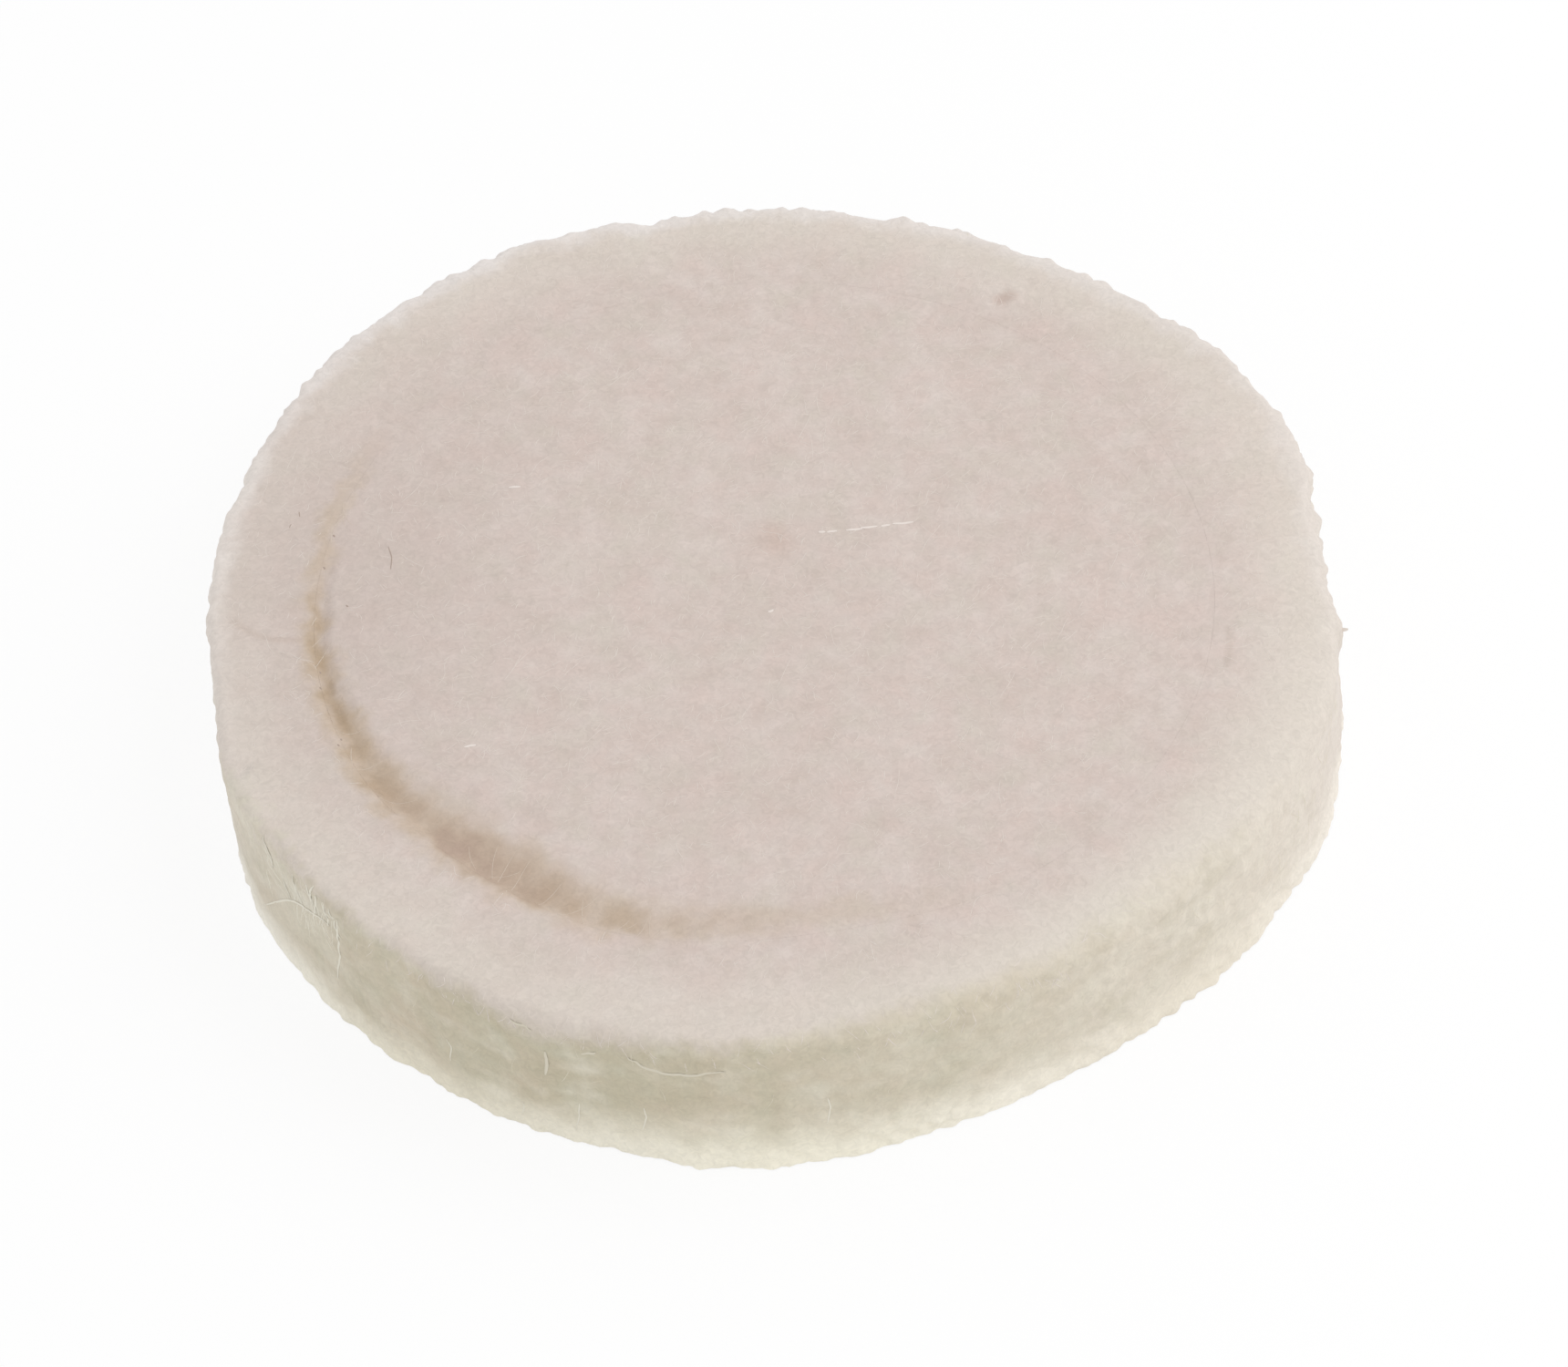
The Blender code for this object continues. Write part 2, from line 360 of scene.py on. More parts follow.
CORE_SHORT = {"count": 3200, "length": SHORT}
CORE_LONG = {"count": 90, "length": LONG}
# Where they lie: clear of the cut on the rim's face, down from the end of the face at the lip, above the
# foot on the wall, and down from the top of the wall in the net
CUT_CLEAR = 0.02 * MM
RIM_FACE_START = 0.25 * MM
LIP_DEPTH = 0.3 * MM
FOOT_CLEAR = 1.8 * MM
NET_DEPTH = 1.0 * MM
# Single fibres seen on the wall, as (bearing, height in mm) along each
HIGH_WALL_FIBRES = (
    ((246.2, 2.96), (246.1, 2.5), (245.7, 2.1)),
    ((249.9, 3.1), (251.4, 3.26)),
    ((254.7, 3.36), (256.4, 3.0), (259.6, 2.97), (263.9, 3.17)),
    ((242.7, 3.58), (245.1, 3.52)),
)
NET_FIBRES = (
    ((205.9, 1.15), (211.4, 2.43), (214.2, 2.8), (216.6, 2.98), (219.6, 3.16)),
    ((211.1, 3.0), (211.6, 2.75), (212.2, 2.58)),
    ((217.6, 3.7), (217.1, 3.3), (216.7, 2.84)),
    ((215.8, 3.7), (216.3, 3.5), (216.8, 3.2)),
    ((218.7, 3.7), (219.3, 3.5), (219.3, 3.1)),
    ((221.0, 3.6), (221.05, 3.13), (220.6, 2.43), (219.3, 1.41)),
    ((217.3, 3.95), (216.6, 3.6), (216.4, 3.3)),
    ((219.9, 3.75), (220.6, 3.3), (221.6, 3.1)),
    ((213.0, 3.5), (213.6, 3.1), (214.6, 2.85)),
    ((208.5, 3.85), (209.2, 3.4), (209.4, 3.0)),
)
LOW_WALL_FIBRES = (
    ((234.7, 2.0), (234.9, 1.7), (234.5, 1.2)),
    ((242.6, 0.9), (242.5, 0.6), (242.0, 0.3)),
    ((248.7, 1.34), (248.5, 0.9), (247.9, 0.4)),
    ((255.5, 1.74), (255.6, 1.4), (255.0, 0.95)),
    ((273.3, 2.17), (273.5, 1.8), (273.0, 1.3)),
)
# Single fibres, a dark hair and bits of seed on the face, as (x, y) in mm along each
CORE_FIBRES = (
    ((1.33, 1.97), (1.48, 1.96)),
    ((1.52, 1.95), (1.75, 1.97)),
    ((1.95, 1.97), (2.15, 1.97), (2.32, 1.99)),
    ((2.28, 2.02), (2.45, 2.01), (2.66, 2.03)),
    ((2.74, 2.03), (2.95, 2.05)),
    ((3.0, 2.08), (3.2, 2.07), (3.48, 2.1)),
    ((-5.61, 3.94), (-5.34, 3.94)),
    ((0.09, -0.37), (0.16, -0.36), (0.21, -0.32)),
    ((-6.73, -3.84), (-6.6, -3.8), (-6.47, -3.79)),
)
HAIR = ((-8.34, 2.33), (-8.26, 1.98), (-8.3, 1.62))
CORE_BITS = (
    ((-9.28, 0.62), (-9.24, 0.56)),
    ((-9.54, 2.79), (-9.52, 2.73)),
    ((-9.77, 1.86), (-9.74, 1.8)),
    ((-9.85, -1.75), (-9.83, -1.81)),
    ((-9.86, -1.25), (-9.84, -1.3)),
    ((-9.4, -3.28), (-9.38, -3.34)),
    ((-9.46, -3.5), (-9.42, -3.54)),
)
RIM_BITS = (
    ((-10.42, 3.58), (-10.4, 3.42)),
    ((-10.6, 3.2), (-10.64, 3.08)),
)
# Fibres that cross the crease, as (bearing, slant in degrees, share of the crease's width): those that are
# seen, the range and number of chance ones, how far they bow and how far inside the cut they start
CREASE_FIBRES = (
    (160.0, 3.0, 0.9), (181.6, -3.0, 0.8), (184.8, -4.0, 0.9), (198.3, 1.5, 0.8), (212.0, 3.0, 0.5),
    (229.2, -3.0, 0.6), (231.5, 3.0, 0.4), (238.6, 1.0, 0.6), (244.0, -2.0, 0.5), (249.0, 2.0, 0.4),
    (262.0, 5.0, 0.7), (266.0, -3.0, 0.6),
)
CHANCE_CREASE_FIBRES = ((160.0, -4.0, 0.2), (282.0, 4.0, 0.7))
CHANCE_CREASE_COUNT = 16
CROSSING_BOW = 0.12
CROSSING_START = 0.01 * MM
# Soft marks on the face, each along (x, y) in mm with its width in mm, its colour and how strong it is:
# a smudge, a brown thread, a faint scratch, a brown spot and a grey one
MARKS = (
    (((0.3, 2.05), (0.36, 1.7)), 0.6, "cbb3a7", 0.5),
    (((-11.8, 0.3), (-11.45, -0.06), (-10.94, -0.32), (-10.13, -0.36)), 0.16, "bba597", 0.36),
    (((10.24, -1.73), (10.2, -2.3), (10.09, -2.81)), 0.14, "c3b4a9", 0.5),
    (((5.9, 8.98), (6.12, 9.1)), 0.3, "c0aaa0", 0.9),
    (((-11.45, -4.04), (-11.58, -4.32)), 0.15, "b4aaa4", 0.7),
)
MARK_REACH = 2.0 * MM


def swell(bearing, middle, spread):
    """A smooth rise from 0 to 1 and back over a stretch of bearings."""
    apart = (bearing - middle + 180.0) % 360.0 - 180.0
    rise = 0.5 + 0.5 * np.cos(np.pi * apart / spread)
    return np.where(np.abs(apart) < spread, rise, 0.0)


def swells(bearing, stretches):
    """Rises over several stretches added up, each given by its middle, its spread and its height."""
    return sum(height * swell(bearing, middle, spread) for middle, spread, height in stretches)


def at_bearing(table, bearing, start=0.0):
    """Values between those of a table of (bearing, value), with the bearings counted on from the start."""
    return np.interp((bearing - start) % 360.0 + start, *np.array(table).T)


def ramp(value, start, end):
    """0 at start and 1 at end, smooth between."""
    share = np.clip((value - start) / (end - start), 0.0, 1.0)
    return share * share * (3.0 - 2.0 * share)


def wool(points, size, seed):
    """Soft noise between -1 and 1 at each point, in clumps of about that size."""
    moved = np.asarray(points).reshape(-1, 3) / size + seed
    values = np.array([noise.noise(point) for point in moved.tolist()])
    return values.reshape(np.shape(points)[:-1])


def clumps(points, layers):
    """Layers of wool added up, each given by its strength, its size in mm and its seed."""
    return sum(strength * wool(points, size * MM, seed) for strength, size, seed in layers)


def around(bearing, radius, height):
    """Points at a bearing, a radius and a height."""
    turn = np.radians(bearing)
    return np.stack(np.broadcast_arrays(radius * np.cos(turn), radius * np.sin(turn), height), axis=-1)


def meet(bearing):
    """Radius at which rim and core meet."""
    return MEET_RADIUS - MM * swells(bearing, MEET_BENDS)


def crease_at(bearing):
    """How open the crease is, its width and the waver of its line."""
    past = (bearing - CREASE_START) % 360.0
    closing = ramp(past, CREASE_LENGTH - CREASE_FADE, CREASE_LENGTH)
    share = ramp(past, 0.0, CREASE_RISE) * (1.0 - closing)
    width = CREASE_NARROW + (CREASE_WIDE - CREASE_NARROW) * swell(bearing, *CREASE_WIDEST)
    waver = share * MM * clumps(around(bearing, MEET_RADIUS, 0.0), CREASE_WAVER)
    return share, width, waver


def crease_drop(bearing, radius):
    """How far the felt sinks into the crease: steeply from the rim's side, gently from the core's."""
    share, width, waver = crease_at(bearing)
    outside = radius - meet(bearing) - waver
    depth = CREASE_DEPTH * (1.0 + clumps(around(bearing, MEET_RADIUS, 0.0), CREASE_UNEVEN))
    steep = 1.0 - ramp(outside, *CREASE_STEEP)
    return share**CREASE_ENDS * depth * steep * ramp(outside, -width, -CREASE_FLOOR * width)


def fold_height(bearing):
    """Height of the fold in the wall."""
    return MM * at_bearing(FOLD, bearing)


def below_fold(bearing, height):
    """1 on the felt pushed out below the fold, 0 elsewhere."""
    return swell(bearing, *FOLD_SIDE) * (1.0 - ramp(height - fold_height(bearing), *FOLD_SOFT))


def out_of_round(bearing, height):
    """How far the outer cut stands out of the round: its fold, its tuft, its wanders and its lobes."""
    tuft = ramp(height, *TUFT_HEIGHTS) * swell(bearing, TUFT_BEARING, TUFT_SPREAD)
    out = FOLD_STEP * below_fold(bearing, height) + TUFT_BULGE * tuft + MM * swells(bearing, WANDERS)
    for count, lobe_height, crest in LOBES:
        out = out + lobe_height * np.cos(np.radians(count * (bearing - crest)))
    return out


def rim_form(radius, bearing, height):
    """Points of a turned rim moved to where the hand-cut rim has them."""
    outward = (radius - CUT_RADIUS) / RIM_WIDTH
    upward = height / THICKNESS
    to_cut = (meet(bearing) + HAIRLINE / 2 - CUT_RADIUS) * np.clip(1.0 - outward / RIM_BENDS, 0.0, 1.0)
    moved = radius + out_of_round(bearing, height) * outward + to_cut
    worn = np.clip((outward - EDGE_WEAR_START) / (1.0 - EDGE_WEAR_START), 0.0, 1.0)
    soft = SOFT_SIDE_SAG * outward**2 + EDGE_WEAR * worn**2
    sag = soft * swell(bearing, *SOFT_SIDE) + crease_drop(bearing, moved)
    points = around(bearing, moved, height - sag * upward)
    lean = outward * (0.5 - upward)
    points[..., 0] += OUTER_LEAN[0] * lean
    points[..., 1] += OUTER_LEAN[1] * lean
    return points


def core_form(radius, bearing, height):
    """Points of a turned core moved to where the real core has them: sunk towards the crease."""
    edge = meet(bearing) - HAIRLINE / 2
    moved = radius + (edge - CORE_RADIUS) * (radius / CORE_RADIUS) ** CORE_BENDS
    return around(bearing, moved, height * (1.0 - crease_drop(bearing, moved) / THICKNESS))


def nap(points, wall):
    """How far the felt stands up at each point: fine on the faces, ragged on the wall of the cut side."""
    up = points[..., 2]
    foot = 1.0 - ramp(up, 0.0, RAGGED_FOOT)
    lip = ramp(up, *RAGGED_LIP)
    rough = at_bearing(ROUGHNESS, np.degrees(np.arctan2(points[..., 1], points[..., 0])))
    scallops = np.abs(clumps(points, WALL_SCALLOPS)) - SCALLOPS_INSET
    scallops = scallops + (WALL_FRAY_HEIGHT + FOOT_FRAY_HEIGHT * foot) * clumps(points, WALL_FRAY)
    patches = PATCHES_MEAN + clumps(points, WALL_PATCHES)
    patches = (WALL_SHARE + LIP_SHARE * lip + FOOT_SHARE * foot) * patches
    uneven = rough * (patches * scallops + clumps(points, WALL_WAVER))
    return MM * (clumps(points, FACE_NAP) + wall * (uneven - WALL_INSET - FOOT_INSET * foot))


def run(start, end, steps, facing):
    """Section points from start towards end with the way they face; the end is left to the next run."""
    share = np.arange(steps)[:, None] / steps
    places = np.array(start) + (np.array(end) - np.array(start)) * share
    return np.hstack([places, np.tile(facing, (steps, 1))])


def arc(centre, radius, start, end, steps):
    """Section points along an arc between two angles in degrees; its end is left to the next run."""
    turn = np.radians(start + (end - start) * np.arange(steps) / steps)
    facing = np.stack([np.cos(turn), np.sin(turn)], axis=-1)
    return np.hstack([np.array(centre) + radius * facing, facing])


def rim_skin_section():
    """The rim's open skin: along its face from the cut, over the shoulder and down the wall to its foot."""
    strip_end = CUT_RADIUS + CUT_STRIP
    face_end = WHEEL_RADIUS - SHOULDER_RADIUS
    wall_top = THICKNESS - SHOULDER_RADIUS
    foot = (WHEEL_RADIUS, 0.0)
    return np.concatenate([
        run((CUT_RADIUS, THICKNESS), (strip_end, THICKNESS), STRIP_STEPS, UP),
        run((strip_end, THICKNESS), (face_end, THICKNESS), FACE_STEPS, UP),
        arc((face_end, wall_top), SHOULDER_RADIUS, 90, 0, SHOULDER_STEPS),
        run((WHEEL_RADIUS, wall_top), foot, WALL_STEPS, OUT),
        run(foot, foot, 1, OUT),
    ])


def rim_hidden_section():
    """The rest of the rim's section: over its back and up the cut, finer where the crease opens."""
    crease_foot = (CUT_RADIUS, THICKNESS - CREASE_DEPTH)
    return np.concatenate([
        run((WHEEL_RADIUS - BACK_STRIP, 0.0), (CUT_RADIUS, 0.0), BACK_STEPS, HIDDEN),
        run((CUT_RADIUS, 0.0), crease_foot, CUT_STEPS, HIDDEN),
        run(crease_foot, (CUT_RADIUS, THICKNESS), CREASE_STEPS, HIDDEN),
    ])


RIM_SKIN = rim_skin_section()
RIM_ALONG = np.append(0.0, np.cumsum(np.hypot(*np.diff(RIM_SKIN[:, :2], axis=0).T)))
FACE_LENGTH = RIM_WIDTH - SHOULDER_RADIUS
WALL_START = FACE_LENGTH + SHOULDER_RADIUS * math.pi / 2
SKIN_END = RIM_ALONG[-1]


def on_rim(bearing, along):
    """Points on the rim's skin, at a bearing and a distance along its section, and the way they face."""
    radius, height, outward, upward = (np.interp(along, RIM_ALONG, column) for column in RIM_SKIN.T)
    points = rim_form(radius, bearing, height)
    facing = around(bearing, outward, upward)
    return points + facing * nap(points, np.clip(outward, 0, 1))[..., None], facing


def on_core(x, y):
    """Points on the core's face, and the way they face."""
    points = core_form(np.hypot(x, y), np.degrees(np.arctan2(y, x)), THICKNESS)
    points[..., 2] += nap(points, 0.0)
    return points, np.broadcast_to((0.0, 0.0, 1.0), points.shape)


def ring_faces(rings, count, closed):
    """Quads between rings of equally many points, and back to the first ring if the section is closed."""
    ring, step = np.meshgrid(np.arange(rings if closed else rings - 1), np.arange(count), indexing="ij")
    below, after = (ring + 1) % rings, (step + 1) % count
    corners = [ring * count + step, below * count + step, below * count + after, ring * count + after]
    return np.stack(corners, axis=-1).reshape(-1, 4)


def ring_start(ring):
    """Number of the first point of a disc's ring, where ring k has 6 k points round a middle one."""
    return 1 + 3 * ring * (ring - 1) if ring else 0


def disc_faces(rings):
    """Triangles of a disc of rings that each have 6 points more than the one inside."""
    faces = []
    for ring in range(1, rings + 1):
        own, inner = ring_start(ring), ring_start(ring - 1)
        own_count, inner_count = 6 * ring, max(6 * (ring - 1), 1)
        for sector in range(6):
            for step in range(ring):
                here = own + sector * ring + step
                after = own + (sector * ring + step + 1) % own_count
                within = inner + (sector * (ring - 1) + step) % inner_count
                faces.append((here, after, within))
                if step < ring - 1:
                    beside = inner + (sector * (ring - 1) + step + 1) % inner_count
                    faces.append((within, after, beside))
    return faces


def core_faces(rings, edge_rings):
    """The core's face, the rings down its cut and over its back, and a fan to the middle of the back."""
    count = 6 * rings
    first = ring_start(rings)
    last = first + edge_rings * count
    middle = last + count
    faces = disc_faces(rings) + (ring_faces(edge_rings + 1, count, False) + first).tolist()
    return faces + [(last + step, middle, last + (step + 1) % count) for step in range(count)]


def new_piece(name, points, faces, material):
    """A smooth mesh piece that rides on the wheel's one body."""
    mesh = bpy.data.meshes.new(name)
    mesh.from_pydata(np.asarray(points).tolist(), [], faces)
    mesh.materials.append(material)
    mesh.shade_smooth()
    mesh.set_sharp_from_angle(angle=math.radians(SMOOTH_BELOW))
    piece = bpy.data.objects.new(name, mesh)
    bpy.context.scene.collection.objects.link(piece)
    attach(piece, "root")
    return piece


def linear(hex_colour):
    """An sRGB hex colour as linear red, green, blue and alpha."""
    channels = [int(hex_colour[i : i + 2], 16) / 255 for i in (0, 2, 4)]
    return [c / 12.92 if c <= 0.04045 else ((c + 0.055) / 1.055) ** 2.4 for c in channels] + [1.0]


def tint(colours, hex_colour, share):
    """Colours moved towards another by a share of the way at each point."""
    return colours + (np.array(linear(hex_colour)) - colours) * np.clip(share, 0.0, 1.0)[:, None]


def mottle(colours, amount, raised, sunk):
    """Colours moved towards one where the amount is above 0, and towards another where it is below."""
    colours = tint(colours, raised[0], raised[1] * amount)
    return tint(colours, sunk[0], -sunk[1] * amount)


def shaded(hex_colour, bearing, shades):
    """A colour at each point, with other shades over some stretches of bearings."""
    colours = np.tile(linear(hex_colour), (len(bearing), 1))
    for shade, middle, spread, share in shades:
        colours = tint(colours, shade, share * swell(bearing, middle, spread))
    return colours


def from_line(points, places):
    """Distance in plan of each point from a line through some places in mm."""
    knots = through(places, MARK_STEPS) * MM
    apart = points[:, None, :2] - knots[None]
    return np.hypot(apart[..., 0], apart[..., 1]).min(axis=1)


def mark(colours, points, places, width, hex_colour, share):
    """Colours with a soft mark along a line."""
    near = np.abs(points[:, :2] - np.mean(places, axis=0) * MM).max(axis=1) < MARK_REACH
    faded = np.zeros(len(points))
    faded[near] = 1.0 - ramp(from_line(points[near], places), 0.0, width)
    return tint(colours, hex_colour, share * faded)


def face_colours(points):
    """Natural wool, in soft clumps that are paler or browner, and pinker or greyer, with painted shade on
    the left and soft marks.
    """
    x, y, _ = points.T
    colours = np.tile(linear(FACE_WOOL), (len(points), 1))
    colours = mottle(colours, clumps(points, FACE_CLUMPS), FACE_PALE, FACE_BROWN)
    colours = mottle(colours, clumps(points, FACE_BLUSH), FACE_PINK, FACE_GREY)
    # Painted shade towards the left, away from the lamp
    shade = swell(np.degrees(np.arctan2(y, x)), *FACE_PAINTED_SHADE_SIDE)
    shade = shade * ramp(np.hypot(x, y), *FACE_PAINTED_SHADE_REACH)
    colours = tint(colours, FACE_PAINTED_SHADE[0], FACE_PAINTED_SHADE[1] * shade)
    for places, width, hex_colour, share in MARKS:
        colours = mark(colours, points, places, width * MM, hex_colour, share)
    return colours


def side_colours(points, bearing, height):
    """The cut side: olive, with painted shade near left, painted light to the right and along its foot."""
    colours = shaded(SIDE_WOOL, bearing, SIDE_TONES_AND_PAINTED_LIGHT)
    browns = clumps(points, SIDE_BROWNS) * (1.0 - swells(bearing, BROWNS_FADE))
    colours = mottle(colours, browns, SIDE_BROWN, SIDE_GREEN)
    streaks = clumps(points, SIDE_STREAKS) + clumps(points * LAYERED, SIDE_LAYERS)
    streaks = streaks * (1.0 - swells(bearing, STREAKS_FADE))
    colours = mottle(colours, streaks, SIDE_PALE, SIDE_DARK)
    colours = fold_colours(colours, bearing, height)
    # Painted glow along the foot, of light that comes up from the table
    foot = MM * at_bearing(FOOT_GLOW_HEIGHTS, bearing)
    lit = 1.0 - ramp(height + MM * clumps(points, FOOT_GLOW_UNEVEN), 0.0, foot)
    return colours + (shaded(FOOT_PAINTED_GLOW, bearing, FOOT_GLOW_SHADES) - colours) * lit[:, None]


def fold_colours(colours, bearing, height):
    """Colours paler on the felt just below the fold, and hazed by the fibres that hang above it."""
    above = height - fold_height(bearing)
    below = below_fold(bearing, height) * (1.0 - ramp(-above, *FOLD_FADE))
    colours = tint(colours, FOLD_WOOL[0], FOLD_WOOL[1] * below)
    haze = ramp(above, *HAZE_START) * (1.0 - ramp(above, *HAZE_END))
    return tint(colours, HAZE_WOOL[0], HAZE_WOOL[1] * haze * swell(bearing, *HAZE_SIDE))


def crease_colours(colours, points, bearing):
    """Painted shade in the crease: tan, with darker blobs along it, a feathered inner side and a dark slit.
    """
    share, width, waver = crease_at(bearing)
    share = share**CREASE_ENDS
    on_face = points[:, 2] > THICKNESS / 2
    ring = around(bearing, MEET_RADIUS, 0.0)
    shift = MM * swells(bearing, PAINTED_SHADE_SHIFT)
    outside = np.hypot(points[:, 0], points[:, 1]) - meet(bearing) - waver + shift
    fray = MM * clumps(points, CREASE_FRAY)
    inner = outside + MM * clumps(points, CREASE_FEATHER)

    # Pale tan painted shade over the crease and where it runs out
    crease_shade = CREASE_PAINTED_SHADE[1] * share
    for middle, spread, strength in PAINTED_SHADE_RUN_OUT:
        crease_shade = np.maximum(crease_shade, strength * swell(bearing, middle, spread))
    edge_end = PAINTED_SHADE_EDGE[1] - swells(bearing, PAINTED_SHADE_CRISPER)
    crease_shade = crease_shade * on_face * (1.0 - ramp(outside + fray, PAINTED_SHADE_EDGE[0] * MM, edge_end * MM))
    crease_shade = crease_shade * ramp(inner, PAINTED_SHADE_INNER[0] * width, PAINTED_SHADE_INNER[1] * width)
    colours = tint(colours, CREASE_PAINTED_SHADE[0], crease_shade)

    # Darker painted shade in the deep of the crease, in blobs
    blobs = BLOBS_MEAN + clumps(ring, CREASE_BLOBS) + clumps(points, CREASE_SPECKS)
    deep = share * on_face * np.clip(blobs, *BLOBS_RANGE) * (1.0 - ramp(outside + fray, *CREASE_EDGE))
    deep = deep * ramp(inner, CREASE_INNER[0] * width, CREASE_INNER[1] * width)
    colours = tint(colours, CREASE_SHADE_TAN, deep)
    colours = tint(colours, CREASE_SHADE_ROSE[0], CREASE_SHADE_ROSE[1] * deep * swell(bearing, *ROSE_SIDE))

    # A dark slit of painted shade along the crease's outer side
    slit = on_face * (1.0 - ramp(np.abs(outside + SLIT_FRAY * fray + SLIT_INSET), *SLIT_SOFT))
    slit = slit * np.clip(SLIT_MEAN + clumps(ring, SLIT_BLOBS), *BLOBS_RANGE) * swell(bearing, *SLIT_SIDE)
    return tint(colours, SLIT_PAINTED_SHADE[0], SLIT_PAINTED_SHADE[1] * slit)


def rim_colours(points, section_points, along, on_skin):
    """The rim: paler outward, then the cut side, with pale fibres and painted light at the far edge,
    painted light at the left.
    """
    radius, bearing, height = section_points
    across = (radius - CUT_RADIUS) / RIM_WIDTH
    paler = RIM_SHARE + swells(bearing, RIM_SHARES)
    colours = tint(face_colours(points), RIM_WOOL, paler * ramp(across, *RIM_PALER))

    place = along + MM * clumps(points, LIP_JAG)
    speckle = MM * clumps(points, LIP_SPECKLE) * swell(bearing, *SPECKLED_LIP)
    ends = FACE_LENGTH + LIP_PLACE + LIP_REACH * at_bearing(FACE_ENDS, bearing)
    blur = MM * (LIP_BLUR + swells(bearing, LIP_BLURS))
    side = on_skin * ramp(place + speckle, ends - blur, ends + blur)
    colours += (side_colours(points, bearing, height) - colours) * side[:, None]

    # Pale loose fibres and painted light round the far edge
    fringe = ramp(place, FACE_LENGTH + FRINGE_START[0], FACE_LENGTH + FRINGE_START[1])
    fringe = fringe * (1.0 - ramp(place, WALL_START + FRINGE_END[0], WALL_START + FRINGE_END[1]))
    fringe = on_skin * fringe * at_bearing(FRINGE, bearing, FRINGE[0][0])
    colours = tint(colours, FRINGE_FIBRES_AND_LIGHT, fringe)
    # Painted light down the left edge
    left = on_skin * ramp(place, FACE_LENGTH + LEFT_LIGHT_START[0], FACE_LENGTH + LEFT_LIGHT_START[1])
    return tint(colours, LEFT_PAINTED_LIGHT[0], LEFT_PAINTED_LIGHT[1] * swell(bearing, *LEFT_LIGHT_SIDE) * left)


def paint(piece, colours):
    """Keeps a colour at each vertex, painted light and shade included, for the felt material to read."""
    attribute = piece.data.color_attributes.new("wool_colour_and_painted_light", "FLOAT_COLOR", "POINT")
    attribute.data.foreach_set("color", np.asarray(colours, dtype=np.float32).ravel())


def make_rim(material):
    """The rim ring: its skin with the nap raised, closed by its back and the cut."""
    section = np.concatenate([RIM_SKIN, rim_hidden_section()])
    hidden = len(section) - len(RIM_SKIN)
    bearing = np.tile(np.arange(RIM_SEGMENTS) * 360.0 / RIM_SEGMENTS, len(section))
    radius, height, outward, upward = np.repeat(section.T, RIM_SEGMENTS, axis=1)
    points = rim_form(radius, bearing, height)
    raised = points + around(bearing, outward, upward) * nap(points, np.clip(outward, 0.0, 1.0))[:, None]
    raised[:, 2] = np.maximum(raised[:, 2], 0.0)
    faces = ring_faces(len(section), RIM_SEGMENTS, True).tolist()
    piece = new_piece("felt_rim_wool", raised, faces, material)
    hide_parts("felt_rim")
    along = np.repeat(np.append(RIM_ALONG, np.full(hidden, SKIN_END)), RIM_SEGMENTS)
    on_skin = np.repeat(np.arange(len(section)) < len(RIM_SKIN), RIM_SEGMENTS)
    colours = rim_colours(points, (radius, bearing, height), along, on_skin)
    paint(piece, crease_colours(colours, points, bearing))


def make_core(material):
    """The core disc: a finely meshed face with the nap raised, closed by the cut and its back."""
    rings = round(CORE_RADIUS / FACE_STEP)
    count = 6 * rings
    share = np.concatenate([[0]] + [np.full(6 * ring, ring) for ring in range(1, rings + 1)]) / rings
    turns = [np.arange(6 * ring) * 60.0 / ring for ring in range(1, rings + 1)]
    edge = np.concatenate([
        run((CORE_RADIUS, THICKNESS), (CORE_RADIUS, 0.0), CORE_CUT_STEPS, HIDDEN)[1:],
        run((CORE_RADIUS, 0.0), (0.0, 0.0), CORE_BACK_STEPS, HIDDEN),
    ])
    on_face = len(share)
    face_radius = CORE_RADIUS * (share + CORE_CROWDING * np.sin(np.pi * share))
    radius = np.concatenate([face_radius, np.repeat(edge[:, 0], count), [0.0]])
    height = np.concatenate([np.full(on_face, THICKNESS), np.repeat(edge[:, 1], count), [0.0]])
    bearing = np.concatenate([[0.0], *turns, np.tile(turns[-1], len(edge)), [0.0]])
    points = core_form(radius, bearing, height)
    raised = points.copy()
    raised[:on_face, 2] += nap(points[:on_face], 0.0)
    faces = core_faces(rings, len(edge))
    piece = new_piece("felt_core_wool", raised, faces, material)
    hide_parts("felt_core")
    paint(piece, crease_colours(face_colours(points), points, bearing))


def through(places, steps):
    """A smooth path through a few places."""
    places = np.array(places)
    knots, shares = np.linspace(0.0, 1.0, len(places)), np.linspace(0.0, 1.0, steps)
    path = np.stack([np.interp(shares, knots, column) for column in places.T], axis=-1)
    for _ in range(steps // 5):
        path[1:-1] = (path[:-2] + 2.0 * path[1:-1] + path[2:]) / 4.0
    return path


def wander(starts, heading, lengths, bend):
    """Winding paths on a flat sheet, each from its start on a heading in degrees that turns as it goes."""
    count = len(starts)
    share = np.linspace(0.0, 1.0, CHANCE_STEPS)
    turned = np.radians(heading)[:, None] + CHANCE.normal(0, bend, (count, 1)) * share
    turned = turned + CHANCE.normal(0, bend / 2, (count, 1)) * np.sin(math.tau * share)
    step_lengths = lengths / (CHANCE_STEPS - 1)
    moves = np.stack([np.cos(turned), np.sin(turned)], axis=-1) * step_lengths[:, None, None]
    return starts[:, None, :] + np.cumsum(moves, axis=1) - moves[:, :1]


def renumbered(faces, first):
    """Faces whose corners are counted from another first point."""
    return [tuple(corner + first for corner in face) for face in faces]


